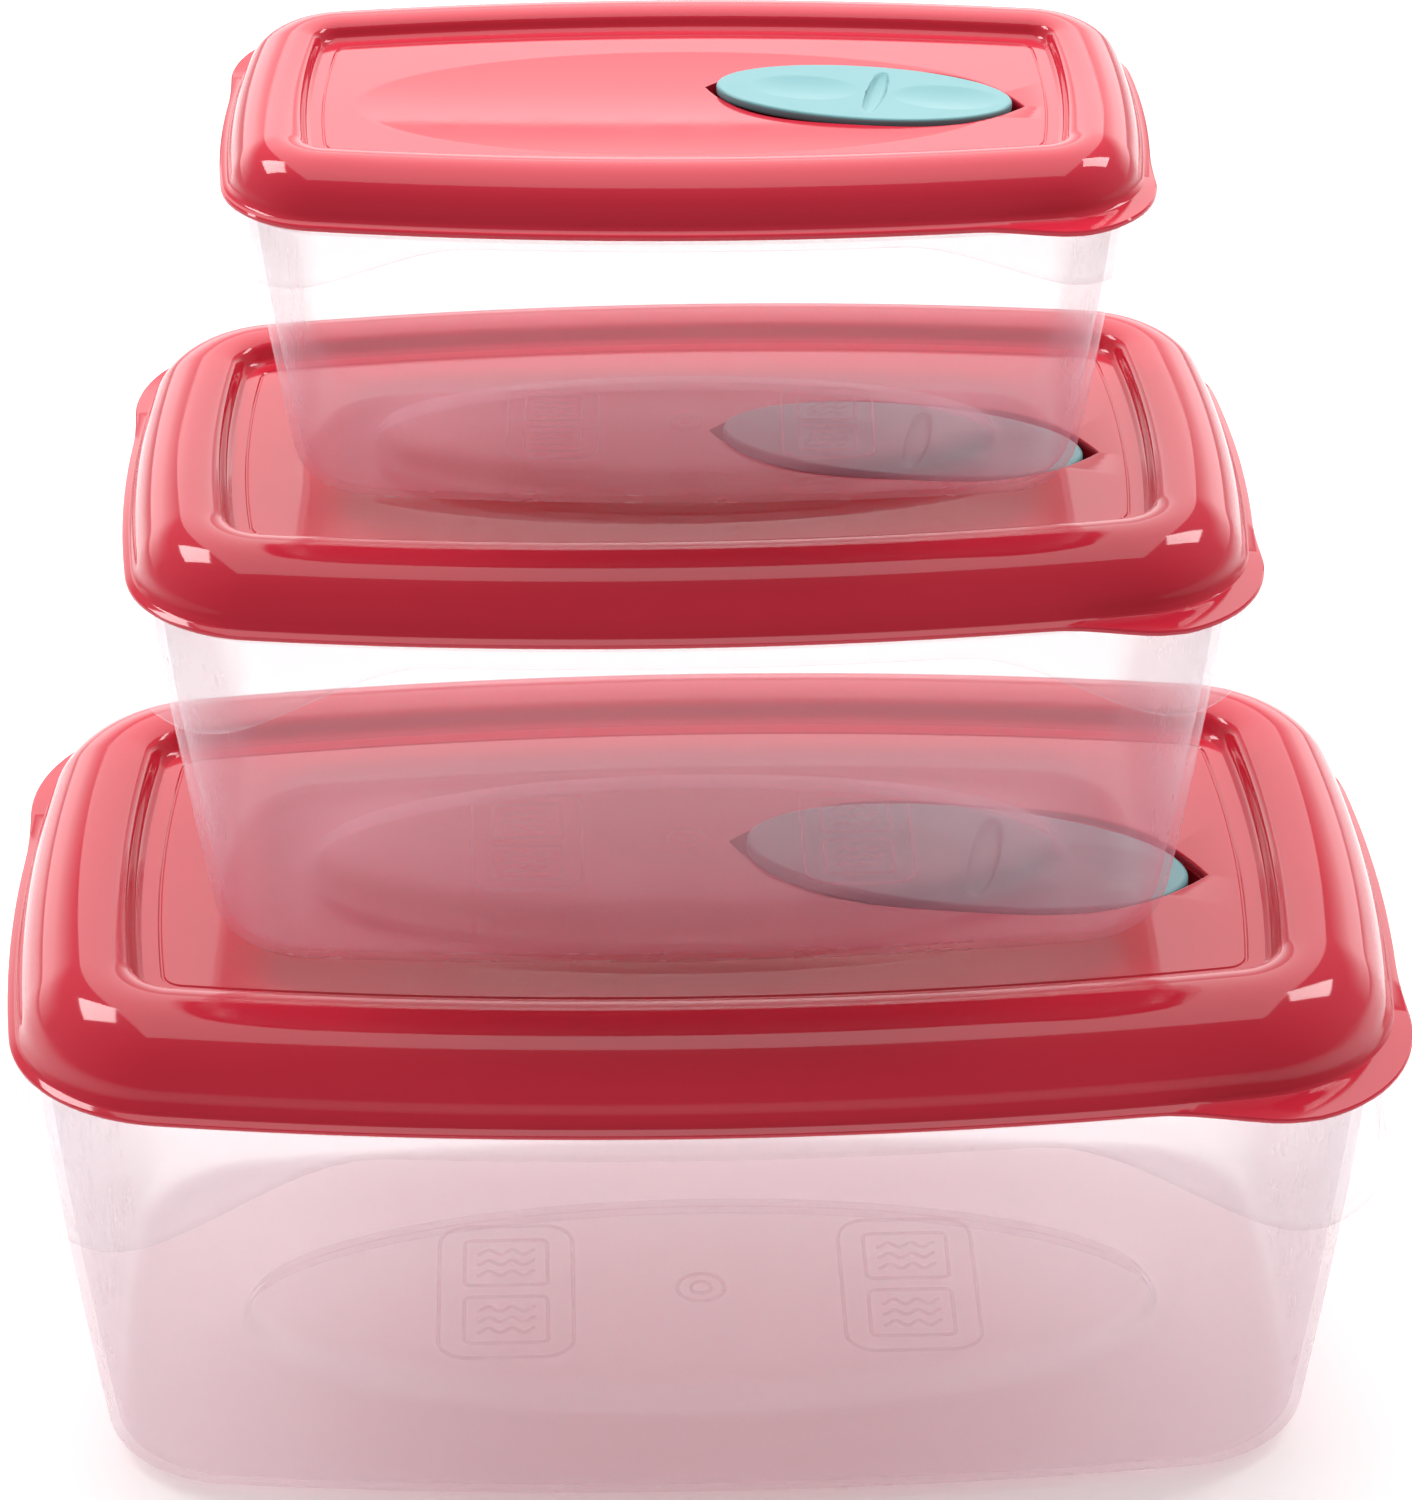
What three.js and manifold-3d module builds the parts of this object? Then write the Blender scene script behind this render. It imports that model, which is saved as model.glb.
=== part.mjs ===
// A stack of three snap-lid food containers, small on medium on large.
// Each container is a tapered clear tub with a wavy skirt under its rim, a glossy lid with a hollow
// rounded bead around a recessed panel, and an oval steam vent that rocks in a pocket of that panel.
// Millimetres, +Z up, origin under the middle of the large tub, X along the containers' length.
import * as THREE from 'three';
import { mergeVertices } from 'three/addons/utils/BufferGeometryUtils.js';
import Module from 'manifold-3d';

const wasm = await Module();
wasm.setup();

// ---- Driving dimensions -------------------------------------------------------------------------
// halfLength, halfWidth: the rim's plan; tubHeight: base to lid edge; lidRise: lid edge to bead crest;
// panelDrop: crest to recessed panel; skirtMiddle, skirtCorner: how far the skirt hangs at the middle
// of a long side and at the corners; floorInset: how far the floor's edge lies inside the rim;
// ventProud: vent top above the panel; ventTilt: its tilt at rest, degrees; turn: how the container
// stands on the one below, degrees; shift: the same along X.
const sizes = {
  large: {
    halfLength: 116.2, halfWidth: 68.4, tubHeight: 82.7, lidRise: 15.0, panelDrop: 4.4,
    skirtMiddle: 4.8, skirtCorner: 28, wallTopInset: 3.4, floorInset: 12.6, floorCorner: 21, floorFillet: 5,
    wall: 1.5, ventProud: 0, ventTilt: 1, turn: 0, shift: 0,
  },
  medium: {
    halfLength: 90.8, halfWidth: 54.2, tubHeight: 71.1, lidRise: 11.4, panelDrop: 3.5,
    skirtMiddle: 4.2, skirtCorner: 19, wallTopInset: 3.2, floorInset: 13.5, floorCorner: 9, floorFillet: 12,
    wall: 1.3, ventProud: 0, ventTilt: 1, turn: 0.3, shift: -2.2,
  },
  small: {
    halfLength: 72.4, halfWidth: 40.0, tubHeight: 54.6, lidRise: 9.0, panelDrop: 2.7,
    skirtMiddle: 2.3, skirtCorner: 11, wallTopInset: 3.1, floorInset: 11.2, floorCorner: 7, floorFillet: 10,
    wall: 1.2, ventProud: 0.55, ventTilt: 0, turn: -1.3, shift: -2.1,
  },
};
const gap = 0.3; // clearance between pieces that touch
const endBow = 0.036; // bow of the short sides, as a share of halfWidth
const sideBow = 0.056; // bow of the long sides, as a share of halfLength
const rimCorner = 0.424; // rim's corner radius, as a share of halfWidth
const floorBow = 0.7; // how much of the rim's bow the floor keeps
const wallCurve = 1.25; // how the wall's inset grows towards the floor
const wallMiddle = 0.45; // height of the wall's extra ring, as a share
const rimShare = 0.45; // the tub's rim reaches this share of the lid's rise, inside the bead
const rimSlope = 0.2; // the rim's lean inward, as a share of its height
const smallHalfLength = 72.4; // lids are scaled copies of the small one's section

const skirtInset = 0.3;
const skirtWall = 1.1;
const skirtBead = 0.35; // how far the rounded bead along the skirt's edge stands out
const skirtBeadHeight = 1.1;
const skirtBeadEnd = 1.6; // where the bead has run back into the skirt
const lobeStart = 0.45; // the skirt's lobe starts and is full at these shares of halfLength
const lobeFull = 0.9;
const ledge = 1.2; // thickness of the ledge that carries the skirt
const plateauRise = 2.2; // push-up in the middle of the floor, for the small size
const plateauLength = 50; // its half length and half width, for the small size
const plateauWidth = 18;
const plateauSlope = 0.8; // half the run of its sloped edge

const flange = 0.6; // how far the lid's lower lip stands out past the rim
const flangeThickness = 0.9;
// Bead of the lid, outer face: distance inside the rim, for the small size, and share of the lid's rise
const beadFoot = 0.55;
const bead = [
  [0.95, 0.2], [1.5, 0.4], [2.5, 0.62], [4.2, 0.82], [6.6, 0.96], [9.4, 1], [12.1, 0.93],
];
// The same for the bead's hollow underside, with how far each point lies inward of the outer face,
// as a share of the lid's wall
const beadUnder = [[9.4, 1], [6.0, 0.94], [3.2, 0.7], [1.5, 0.36]];
const underLean = [0, 0.3, 0.8, 1];
const panelFillet = 0.5; // height of the fillet between the bead and the panel
const filletStart = 13.1;
const panelInset = 13.8;
const tabReach = 0.094; // lift tab's reach, as a share of halfWidth
const tabX = 0.838; // where it reaches furthest, as shares of halfLength and halfWidth
const tabY = -0.926;
const tabFront = 0.23; // its spread along the long side, as a share of halfLength
const tabSide = 0.4; // the same along the short side

// Steam vent and its pocket, for the small size
const ventLength = 23.5;
const ventWidth = 10.3;
const ventThickness = 1.5;
const ventEdge = 0.5; // rounding of its top edge
const ventAt = [28.2, 0.2];
const ventAngle = -10.8;
const pivotFromMiddle = 1.9;
const pocketLength = 25.4;
const pocketWidth = 10.75;
const pocketPower = 3.4;
const pocketDepth = 3.2;
const pivotBelow = 0.4; // pivot axis under the plate
const pinRadius = 0.55;
const pinEnd = 11.6;
const bossWall = 1.3; // material around a pin's socket, where the panel above leaves room for it
const notchRadius = 8; // the notch is a flattened sphere: its radius and two flattenings
const notchLength = 0.19;
const notchDepth = 0.1;
const ribLength = 1.5; // length of the rocking rib, as a share of ventWidth
const steamHole = 1.3;
const plugRadius = 2.3;
const plugFromMiddle = -9;

// ---- Materials ----------------------------------------------------------------------------------
const clear = () => new THREE.MeshStandardMaterial({
  color: 0xf1e9ef, roughness: 0.2, metalness: 0, transparent: true, opacity: 0.35,
});
const red = () => new THREE.MeshStandardMaterial({ color: 0xd9415a, roughness: 0.2, metalness: 0 });
const turquoise = () => new THREE.MeshStandardMaterial({ color: 0x7fcfcb, roughness: 0.4, metalness: 0 });

// ---- Helpers ------------------------------------------------------------------------------------
const radians = (degrees) => degrees * Math.PI / 180;
const mix = (from, to, share) => from + (to - from) * share;
function smooth(from, to, value) {
  const t = Math.min(1, Math.max(0, (value - from) / (to - from)));
  return t * t * (3 - 2 * t);
}

// Closed plan outline, counter-clockwise from the right-hand side: four sides bowed outward as shallow
// parabolas and four round corners. Every outline has the same number of points, so outlines loft.
const longSteps = 8;
const shortSteps = 4;
const cornerSteps = 4;
function outline(halfLength, halfWidth, bowEnds, bowSides, radius) {
  const a = halfLength - radius;
  const b = halfWidth - radius;
  let cornerX = a;
  let cornerY = b;
  for (let pass = 0; pass < 20; pass += 1) { // settles on where the side and the end meet
    cornerX = a - bowEnds * (cornerY / b) ** 2;
    cornerY = b - bowSides * (cornerX / a) ** 2;
  }
  const offset = (x, y, angle) => ({
    x: x + radius * Math.cos(angle),
    y: y + radius * Math.sin(angle),
    nx: Math.cos(angle),
    ny: Math.sin(angle),
  });
  const endPoint = (y) => offset(a - bowEnds * (y / b) ** 2, y, Math.atan2(2 * bowEnds * y / b ** 2, 1));
  const sidePoint = (x) => offset(x, b - bowSides * (x / a) ** 2, Math.atan2(1, 2 * bowSides * x / a ** 2));
  const endSlope = Math.atan2(2 * bowEnds * cornerY / b ** 2, 1);
  const sideSlope = Math.atan2(1, 2 * bowSides * cornerX / a ** 2);
  const half = [];
  for (let i = 0; i <= shortSteps; i += 1) {
    half.push(endPoint(mix(-cornerY, cornerY, i / shortSteps)));
  }
  for (let i = 1; i < cornerSteps; i += 1) {
    half.push(offset(cornerX, cornerY, mix(endSlope, sideSlope, i / cornerSteps)));
  }
  for (let i = 0; i <= longSteps; i += 1) {
    half.push(sidePoint(mix(cornerX, -cornerX, i / longSteps)));
  }
  for (let i = 1; i < cornerSteps; i += 1) {
    const angle = Math.PI - mix(sideSlope, endSlope, i / cornerSteps);
    half.push(offset(-cornerX, cornerY, angle));
  }
  return half.concat(half.map((p) => ({ x: -p.x, y: -p.y, nx: -p.nx, ny: -p.ny })));
}

// Closed body from a row of rings with equal point counts, capped at its first and last ring.
// Rings run up the outside first, so that faces point out.
function loft(rings) {
  const count = rings[0].length;
  const positions = [];
  const index = [];
  rings.forEach((ring) => ring.forEach((p) => positions.push(p.x, p.y, p.z)));
  const at = (ring, i) => ring * count + (i % count);
  for (let ring = 0; ring + 1 < rings.length; ring += 1) {
    for (let i = 0; i < count; i += 1) {
      index.push(at(ring, i), at(ring, i + 1), at(ring + 1, i + 1));
      index.push(at(ring, i), at(ring + 1, i + 1), at(ring + 1, i));
    }
  }
  [[0, true], [rings.length - 1, false]].forEach(([ring, below]) => {
    const middle = positions.length / 3;
    positions.push(0, 0, rings[ring][0].z);
    for (let i = 0; i < count; i += 1) {
      const edge = [at(ring, i), at(ring, i + 1)];
      index.push(middle, ...(below ? edge.reverse() : edge));
    }
  });
  const geometry = new THREE.BufferGeometry();
  geometry.setAttribute('position', new THREE.Float32BufferAttribute(positions, 3));
  geometry.setIndex(index);
  return geometry;
}

function toSolid(geometry) {
  const bare = geometry.clone();
  bare.deleteAttribute('normal');
  bare.deleteAttribute('uv');
  const merged = mergeVertices(bare, 1e-4);
  return new wasm.Manifold(new wasm.Mesh({
    numProp: 3,
    vertProperties: new Float32Array(merged.attributes.position.array),
    triVerts: new Uint32Array(merged.index.array),
  }));
}

function toGeometry(solid) {
  const mesh = solid.getMesh();
  const geometry = new THREE.BufferGeometry();
  geometry.setAttribute('position', new THREE.BufferAttribute(new Float32Array(mesh.vertProperties), 3));
  geometry.setIndex(new THREE.BufferAttribute(new Uint32Array(mesh.triVerts), 1));
  geometry.computeVertexNormals();
  return geometry;
}

function prism(points, bottom, top) {
  const shape = new THREE.Shape(points.map(([x, y]) => new THREE.Vector2(x, y)));
  const geometry = new THREE.ExtrudeGeometry(shape, { depth: top - bottom, bevelEnabled: false });
  return geometry.translate(0, 0, bottom);
}

// Upright or lying cylinder with its middle at the origin.
function cylinder(radius, length, axis, segments) {
  const geometry = new THREE.CylinderGeometry(radius, radius, length, segments);
  return axis === 'z' ? geometry.rotateX(Math.PI / 2) : geometry;
}

// ---- One container's sizes ----------------------------------------------------------------------
function measures(size) {
  const scale = size.halfLength / smallHalfLength;
  const panel = size.lidRise - size.panelDrop; // panel's height above the lid's edge
  return { ...size, scale, panel, lidWall: 1.0 + 0.2 * scale };
}

function rimOutline(size, inset, radius) {
  return outline(
    size.halfLength - inset, size.halfWidth - inset,
    endBow * size.halfWidth, sideBow * size.halfLength, radius,
  );
}

const level = (points, z) => points.map((p) => ({ ...p, z }));

// ---- Tub ----------------------------------------------------------------------------------------
// Plan of the tub's wall: share 0 at the floor, 1 at the rim.
function tubOutline(size, inset, share) {
  const bow = mix(floorBow, 1, share);
  return outline(
    size.halfLength - inset, size.halfWidth - inset,
    bow * endBow * size.halfWidth, bow * sideBow * size.halfLength,
    mix(size.floorCorner, rimCorner * size.halfWidth - size.wallTopInset, share),
  );
}

// Level ring of the tapered wall, thickness inside its outer face, turning into the floor's fillet.
function wallRing(size, z, thickness) {
  const share = Math.min(1, z / size.tubHeight);
  const inset = mix(size.wallTopInset, size.floorInset, (1 - share) ** wallCurve);
  const down = Math.max(0, size.floorFillet - z);
  const radius = size.floorFillet - thickness;
  const turn = size.floorFillet - Math.sqrt(Math.max(0, radius ** 2 - down ** 2));
  return level(tubOutline(size, inset + turn, share), z);
}

function plateauRing(size, grow, z) {
  const wide = (plateauLength + grow) * size.scale;
  const deep = (plateauWidth + grow) * size.scale;
  return rimOutline(size, 0, rimCorner * size.halfWidth).map((p) => {
    const angle = Math.atan2(p.y / size.halfWidth, p.x / size.halfLength);
    return { x: wide * Math.cos(angle), y: deep * Math.sin(angle), z };
  });
}

function skirtHang(size, p) {
  const along = Math.abs(p.x) / size.halfLength;
  return mix(size.skirtMiddle, size.skirtCorner, smooth(lobeStart, lobeFull, along));
}

function tub(size) {
  const { wall, tubHeight, scale } = size;
  const top = tubHeight - gap; // ledge under the lid's edge
  const rise = plateauRise * scale;
  const cornerRadius = rimCorner * size.halfWidth;
  const skirt = (inset, above) => rimOutline(size, inset, cornerRadius)
    .map((p) => ({ ...p, z: tubHeight - skirtHang(size, p) + above }));
  const groove = (inset) => level(rimOutline(size, inset, cornerRadius), top - ledge);
  const fillet = size.floorFillet;
  const floorSteps = [0, 0.12, 0.4, 1];
  const innerSteps = [1, 0.45, 0.12, 0];
  const rimTop = tubHeight + rimShare * size.lidRise;
  const rimLean = rimSlope * (rimTop - tubHeight);
  return loft([
    plateauRing(size, -plateauSlope, rise),
    plateauRing(size, plateauSlope, 0),
    ...floorSteps.map((share) => wallRing(size, fillet * share, 0)),
    wallRing(size, mix(fillet, top, wallMiddle), 0),
    wallRing(size, top - ledge, 0),
    groove(skirtInset + skirtWall),
    skirt(skirtInset + skirtWall, 0),
    skirt(skirtInset - skirtBead, 0),
    skirt(skirtInset - skirtBead, skirtBeadHeight),
    skirt(skirtInset, skirtBeadEnd),
    level(rimOutline(size, skirtInset, cornerRadius), top),
    wallRing(size, top, 0),
    level(tubOutline(size, size.wallTopInset + rimLean, 1), rimTop),
    level(tubOutline(size, size.wallTopInset + rimLean + wall, 1), rimTop),
    wallRing(size, top, wall),
    wallRing(size, mix(fillet, top, wallMiddle), wall),
    ...innerSteps.map((share) => wallRing(size, mix(wall, fillet, share), wall)),
    plateauRing(size, plateauSlope, wall),
    plateauRing(size, -plateauSlope, rise + wall),
  ]);
}

// ---- Lid ----------------------------------------------------------------------------------------
// How far the lift tabs widen the flange at a point of the rim: one tab on the front right corner
// and one on the rear left.
function tabWidth(size, p) {
  const reach = (sign) => {
    const dx = sign * p.x - tabX * size.halfLength;
    const dy = sign * p.y - tabY * size.halfWidth;
    const spread = (dy < -dx ? tabFront : tabSide) * size.halfLength;
    return 1 - smooth(0, 1, Math.hypot(dx, dy) / spread);
  };
  return tabReach * size.halfWidth * Math.max(reach(1), reach(-1));
}

function lidShell(size) {
  const { scale, lidRise, panel, lidWall } = size;
  const radius = rimCorner * size.halfWidth;
  const ring = (inset, z) => level(rimOutline(size, inset, Math.max(radius - inset, 3)), z);
  const lip = (out, z) => rimOutline(size, 0, radius).map((p) => {
    const reach = out + tabWidth(size, p);
    return { x: p.x + p.nx * reach, y: p.y + p.ny * reach, z };
  });
  const [edgeInset] = bead[0];
  const [lastInset] = bead[bead.length - 1];
  return loft([
    ring(panelInset * scale - 0.8 * lidWall, panel - lidWall),
    ring(lastInset * scale - 0.8 * lidWall, panel + panelFillet),
    ...beadUnder.map(([inset, share], i) => ring(
      inset * scale + lidWall * underLean[i],
      lidRise * share - lidWall * Math.sqrt(1 - underLean[i] ** 2),
    )),
    ring(edgeInset * scale + lidWall, 0),
    lip(flange, 0),
    lip(flange, flangeThickness),
    ring(beadFoot * scale, flangeThickness + 0.35 * scale),
    ...bead.map(([inset, share]) => ring(inset * scale, lidRise * share)),
    ring(filletStart * scale, panel + panelFillet * scale),
    ring(panelInset * scale, panel),
  ]);
}

// Outline of the vent's pocket: an eye with two pointed ends.
function pocketOutline(scale, grow, steps = 8) {
  const length = pocketLength * scale + grow;
  const width = pocketWidth * scale + grow;
  const half = [];
  for (let i = 0; i < 2 * steps; i += 1) {
    const x = length * Math.cos(Math.PI * i / (2 * steps));
    half.push([x, width * (1 - Math.abs(x / length) ** pocketPower)]);
  }
  return half.concat(half.map(([x, y]) => [-x, -y]));
}

function placeVent(geometry, size) {
  return geometry.rotateZ(radians(ventAngle))
    .translate(ventAt[0] * size.scale, ventAt[1] * size.scale, 0);
}

// Height of the vent's pivot axis above the lid's edge.
function pivotHeight(size) {
  return size.panel + size.ventProud - (ventThickness + pivotBelow) * size.scale;
}

function lid(size) {
  const { scale, panel, lidWall } = size;
  const floor = panel - pocketDepth * scale;
  const pivotZ = pivotHeight(size);
  const pivotX = pivotFromMiddle * scale;
  const pin = pinRadius * scale;
  const place = (geometry) => toSolid(placeVent(geometry, size));
  const cup = place(prism(pocketOutline(scale, lidWall), floor - lidWall, panel - 0.3));
  const bossRadius = Math.min(pin + bossWall, panel - pivotZ - 0.02);
  const boss = place(
    cylinder(bossRadius, 2 * (pinEnd * scale + bossWall), 'y', 8).translate(pivotX, 0, pivotZ),
  );
  const pocket = place(prism(pocketOutline(scale, 0), floor, panel + 1));
  const sockets = place(
    cylinder(pin + gap, 2 * (pinEnd * scale + gap), 'y', 8).translate(pivotX, 0, pivotZ),
  );
  const hole = place(
    cylinder(steamHole * scale, 4 * lidWall, 'z', 10).translate(plugFromMiddle * scale, 0, floor),
  );
  return toGeometry(
    toSolid(lidShell(size)).add(cup).add(boss).subtract(pocket).subtract(sockets).subtract(hole),
  );
}

// ---- Vent ---------------------------------------------------------------------------------------
// Rocker with its pivot axis along Y through the origin: an oval plate with a rounded edge, a
// transverse notch over the axis, two pivot pins, a rocking rib and a plug over the steam hole.
function ovalRing(length, width, z, middle) {
  const steps = 24;
  const ring = [];
  for (let i = 0; i < steps; i += 1) {
    const angle = 2 * Math.PI * i / steps;
    ring.push({ x: middle + length * Math.cos(angle), y: width * Math.sin(angle), z });
  }
  return ring;
}

function vent(size) {
  const { scale } = size;
  const middle = -pivotFromMiddle * scale;
  const bottom = pivotBelow * scale;
  const top = bottom + ventThickness * scale;
  const round = ventEdge * scale;
  const oval = (inset, z) => ovalRing(ventLength * scale - inset, ventWidth * scale - inset, z, middle);
  const plate = toSolid(loft([
    oval(0.2 * scale, bottom),
    oval(0, bottom + 0.3 * scale),
    oval(0, top - round),
    oval(0.3 * round, top - 0.3 * round),
    oval(round, top),
  ]));
  const depth = pocketDepth * scale + size.ventProud - top - gap; // reach of the rib and the plug
  const half = prism([[-depth, -1], [depth, -1], [depth, 1], [-depth, 1]], 0.3 * bottom, depth + bottom);
  const above = toSolid(half.scale(2, ventWidth * scale, 1));
  const rib = toSolid(cylinder(depth, ribLength * ventWidth * scale, 'y', 16)).subtract(above);
  const web = toSolid(new THREE.BoxGeometry(1.6 * depth, ribLength * ventWidth * scale, bottom + 0.2)
    .translate(0, 0, bottom / 2));
  const pins = toSolid(cylinder(pinRadius * scale, 2 * pinEnd * scale, 'y', 8));
  const plug = toSolid(cylinder(plugRadius * scale, depth + bottom + 0.2, 'z', 10)
    .translate(middle + plugFromMiddle * scale, 0, (bottom + 0.2 - depth) / 2));
  const notch = toSolid(
    new THREE.SphereGeometry(notchRadius * scale, 12, 8)
      .scale(notchLength, 1, notchDepth)
      .translate(0, 0, top + 0.05),
  );
  return toGeometry(rib.add(web).add(pins).add(plug).add(plate).subtract(notch));
}

// ---- Assembly -----------------------------------------------------------------------------------
function mesh(name, geometry, material) {
  const node = new THREE.Mesh(geometry, material);
  node.name = name;
  return node;
}

function container(name, size) {
  const group = new THREE.Group();
  group.add(mesh(`${name}_tub`, tub(size), clear()));

  const lidNode = mesh(`${name}_lid`, lid(size), red());
  lidNode.position.z = size.tubHeight;
  group.add(lidNode);

  const ventFrame = new THREE.Group();
  ventFrame.position.set(
    ventAt[0] * size.scale + pivotFromMiddle * size.scale * Math.cos(radians(ventAngle)),
    ventAt[1] * size.scale + pivotFromMiddle * size.scale * Math.sin(radians(ventAngle)),
    size.tubHeight + pivotHeight(size),
  );
  ventFrame.rotation.z = radians(ventAngle);
  const ventNode = mesh(`${name}_vent`, vent(size), turquoise());
  ventNode.rotation.y = radians(size.ventTilt);
  ventFrame.add(ventNode);
  group.add(ventFrame);
  return group;
}

const stack = new THREE.Group();
let base = 0;
Object.entries(sizes).forEach(([name, given]) => {
  const size = measures(given);
  const group = container(name, size);
  group.position.set(size.shift, 0, base);
  group.rotation.z = radians(size.turn);
  stack.add(group);
  base += size.tubHeight + size.panel + gap;
});

export default stack;
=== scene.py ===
"""Three snap-lid food containers stacked small on medium on large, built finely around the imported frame.

Each container is a translucent tub, a glossy lid with a satin panel and a steam vent. Shapes are worked
out in millimetres in a container's own frame (origin under the middle of its tub, X along its length)
and put in place, in metres, from the frame.
"""

import math

import bpy
import numpy as np
from mathutils import Matrix, Vector


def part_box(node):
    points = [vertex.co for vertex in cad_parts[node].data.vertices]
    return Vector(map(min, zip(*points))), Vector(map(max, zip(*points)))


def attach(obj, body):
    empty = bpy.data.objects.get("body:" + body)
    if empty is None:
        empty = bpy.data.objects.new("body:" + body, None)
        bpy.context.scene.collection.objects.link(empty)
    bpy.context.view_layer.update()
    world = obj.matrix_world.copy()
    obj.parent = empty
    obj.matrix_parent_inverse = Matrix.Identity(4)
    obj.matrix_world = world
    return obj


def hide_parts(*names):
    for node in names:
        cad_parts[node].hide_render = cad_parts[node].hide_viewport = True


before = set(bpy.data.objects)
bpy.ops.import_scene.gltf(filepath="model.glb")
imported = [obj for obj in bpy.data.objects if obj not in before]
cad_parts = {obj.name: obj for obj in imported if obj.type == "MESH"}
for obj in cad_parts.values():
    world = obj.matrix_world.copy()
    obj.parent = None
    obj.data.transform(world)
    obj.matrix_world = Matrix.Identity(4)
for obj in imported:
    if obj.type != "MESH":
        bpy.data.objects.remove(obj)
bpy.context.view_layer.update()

MM = 0.001

# ---- Driving dimensions, millimetres --------------------------------------------------------------
# turn and shift say how a container stands on the one below; vent_proud is how far its vent's top
# stands above the panel and vent_tilt how the vent leans at rest. tint is the colour of its tub's haze
# near the floor, blended up to the rim's pale lilac, and it is painted light. For a tub standing on a red
# lid it is a painted red reflection of that lid. For the tub on the ground it is its own lilac, made pinker
# and darker by painted shade and by painted red reflection from its own lid.
# painted shade and painted red reflection on the large tub's own lilac, near its floor
LILAC_AND_SHADE_TINT = (0.88, 0.69, 0.77)
# painted red reflection of the red lid that a tub stands on, near the tub's floor
RED_BOUNCE_TINT = (0.98, 0.46, 0.58)
RIM_TINT = (0.92, 0.84, 0.90)
SIZES = {
    "large": {
        "length": 116.2, "width": 68.4, "panel_drop": 4.4, "skirt_middle": 4.8, "skirt_corner": 28,
        "wall_top": 3.4, "wall_floor": 12.6, "floor_corner": 21, "fillet": 5, "wall": 1.5,
        "vent_proud": 0, "vent_tilt": 1, "turn": 0, "shift": 0, "tint": LILAC_AND_SHADE_TINT,
    },
    "medium": {
        "length": 90.8, "width": 54.2, "panel_drop": 3.5, "skirt_middle": 4.2, "skirt_corner": 19,
        "wall_top": 3.2, "wall_floor": 13.5, "floor_corner": 9, "fillet": 12, "wall": 1.3,
        "vent_proud": 0, "vent_tilt": 1, "turn": 0.3, "shift": -2.2, "tint": RED_BOUNCE_TINT,
    },
    "small": {
        "length": 72.4, "width": 40.0, "panel_drop": 2.7, "skirt_middle": 2.3, "skirt_corner": 11,
        "wall_top": 3.1, "wall_floor": 11.2, "floor_corner": 7, "fillet": 10, "wall": 1.2,
        "vent_proud": 0.55, "vent_tilt": 0, "turn": -1.3, "shift": -2.1, "tint": RED_BOUNCE_TINT,
    },
}
GAP = 0.3  # clearance between pieces that touch
END_BOW = 0.036  # bow of the short sides, as a share of the half width
SIDE_BOW = 0.056  # bow of the long sides, as a share of the half length
RIM_CORNER = 0.424  # the rim's corner radius, as a share of the half width
FLOOR_BOW = 0.7  # how much of the rim's bow the floor keeps
WALL_CURVE = 1.25  # how the wall's inset grows towards the floor
SMALL_LENGTH = SIZES["small"]["length"]  # lids are scaled copies of the small one's section

RIM_SHARE = 0.45  # the tub's rim reaches this share of the lid's rise, inside the bead
RIM_SLOPE = 0.2
RIM_ROUND = [(0, 0.5), (0.15, 0.15), (0.5, 0), (0.85, 0.15), (1, 0.5)]  # its top, in wall thicknesses
SKIRT_INSET = 0.3
SKIRT_WALL = 1.1
SHOULDER = 0.3  # chamfer between the skirt and the ledge
LEDGE = 1.2
BEAD_RADIUS = 0.7  # rounded bead along the skirt's lower edge
BEAD_OUT = 0.05  # how far that bead stands past the rim's plan
BEAD_BLEND = 1.5  # where the bead runs into the skirt's face, in bead radii
BEAD_END = 1.9
LOBE_START = 0.45
LOBE_FULL = 0.9
PLATEAU_RISE = 2.2
PLATEAU = (50, 18)
PLATEAU_SLOPE = 0.8

MARK_PLACES = (-21.5, 23.0)  # the two framed pictograms, along the floor
MARK_LINE = 0.42
MARK_SECTION = [(-0.5, -0.2), (0.5, -0.2), (0.3, 0.35), (-0.3, 0.35)]  # across and up, in line widths
FRAME = (7.4, 12.4)
FRAME_CORNER = 3.2
BOX = (4.6, 4.3)
BOX_CORNER = 0.8
BOX_ROWS = (-5.4, 5.4)
WAVE_ROWS = (-2, 0, 2)
WAVE = (3.2, 0.45)
WAVE_TURNS = 2.5
GATE_RADII = (1.1, 2.6)

LID_WALL = 1.0  # the lid's wall, and how much of it grows with the container
LID_WALL_GROWTH = 0.2
FLANGE = 0.6
FLANGE_THICKNESS = 0.9
FLANGE_ROUND = 0.25
TAB_REACH = 0.094
TAB_AT = (0.838, -0.926)
TAB_FRONT = 0.23
TAB_SIDE = 0.4
BEAD = [(0.95, 0.2), (1.5, 0.4), (2.5, 0.62), (4.2, 0.82), (6.6, 0.96), (9.4, 1.0), (12.1, 0.93)]
BEAD_FOOT = (0.55, 0.35)  # inset and rise above the flange
UNDER = [(9.4, 1.0, 0.0), (6.0, 0.94, 0.3), (3.2, 0.7, 0.8), (1.5, 0.36, 1.0)]
FLANGE_BLEND = (0.3, 0.15)
UNDER_SHARE = 0.8  # how far the underside is drawn in under a fillet, in wall thicknesses
UNDER_RISE = 0.5
FILLET_START = 13.1
FILLET_RISE = 0.5
PANEL_INSET = 13.8
SMALLEST_CORNER = 3
STEP_INSET = 15.5  # fine groove that borders the panel
STEP_WIDTH = 0.45
STEP_DEPTH = 0.14
DISH = (51, 20)
DISH_AT = (-0.5, -2.5)
DISH_DEPTH = 0.75

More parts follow.
